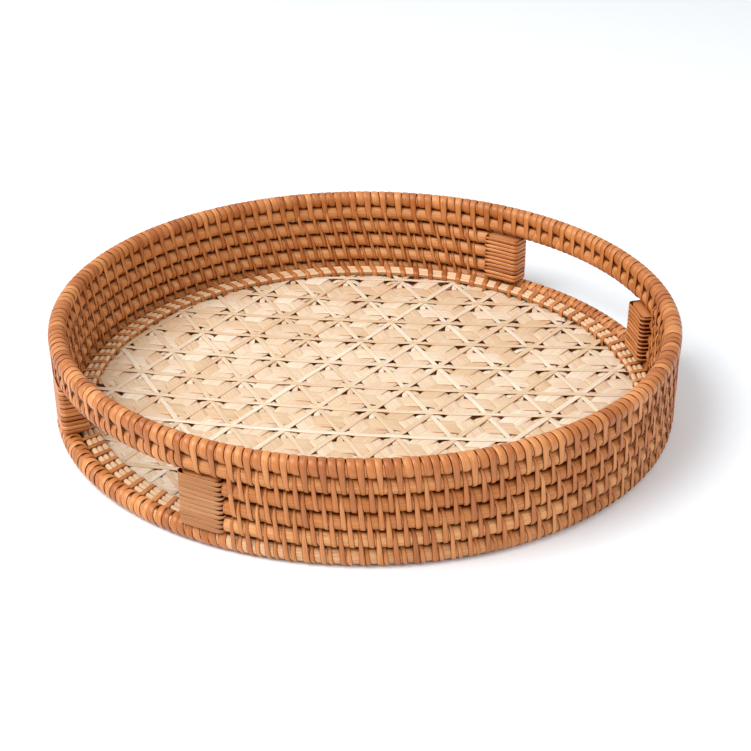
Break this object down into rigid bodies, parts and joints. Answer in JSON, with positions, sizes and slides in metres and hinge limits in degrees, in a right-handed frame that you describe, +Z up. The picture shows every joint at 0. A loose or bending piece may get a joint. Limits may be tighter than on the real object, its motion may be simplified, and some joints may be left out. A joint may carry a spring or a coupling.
{
  "type": "serving tray",
  "caption": "Round low-sided serving tray of coiled rattan rods bound with peel, with two cut-out hand openings and a flat star-woven cane panel.",
  "frame": {"origin": "centre of the tray on the surface it stands on", "axes": "+Z up out of the tray; X runs through the two hand openings, Y across them"},
  "size_m": [0.38, 0.38, 0.063],
  "materials": {
    "rattan_peel": "satin",
    "rattan_core": "matte",
    "edge_cane": "satin",
    "woven_cane": "matte"
  },
  "bodies": {
    "root": {"base_rod": "rattan_core", "base_wraps_left": "rattan_peel", "base_wraps_right": "rattan_peel", "coil_1_rod": "rattan_core", "coil_1_wraps_left": "rattan_peel", "coil_1_wraps_right": "rattan_peel", "coil_2_rod_back": "rattan_core", "coil_2_rod_front": "rattan_core", "coil_3_rod_back": "rattan_core", "coil_3_rod_front": "rattan_core", "coil_4_rod_back": "rattan_core", "coil_4_rod_front": "rattan_core", "cross_strips_a": "woven_cane", "cross_strips_b": "woven_cane", "cross_strips_c": "woven_cane", "edge_cane_inner": "edge_cane", "edge_cane_middle": "edge_cane", "edge_cane_outer": "edge_cane", "edge_cane_under": "edge_cane", "panel_lashings": "rattan_peel", "post_core_left_back": "rattan_core", "post_core_left_front": "rattan_core", "post_core_right_back": "rattan_core", "post_core_right_front": "rattan_core", "post_wrap_left_back": "rattan_peel", "post_wrap_left_front": "rattan_peel", "post_wrap_right_back": "rattan_peel", "post_wrap_right_front": "rattan_peel", "rim_rod": "rattan_core", "rim_stitches": "rattan_peel", "rim_wraps": "rattan_peel", "star_strips_a": "woven_cane", "star_strips_b": "woven_cane", "star_strips_c": "woven_cane", "stitches_1_2_back": "rattan_peel", "stitches_1_2_front": "rattan_peel", "stitches_2_3_back": "rattan_peel", "stitches_2_3_front": "rattan_peel", "stitches_3_4_back": "rattan_peel", "stitches_3_4_front": "rattan_peel", "stitches_4_base_back": "rattan_peel", "stitches_4_base_front": "rattan_peel", "wide_strips_a": "woven_cane", "wide_strips_b": "woven_cane", "wide_strips_c": "woven_cane"}
  },
  "joints": []
}
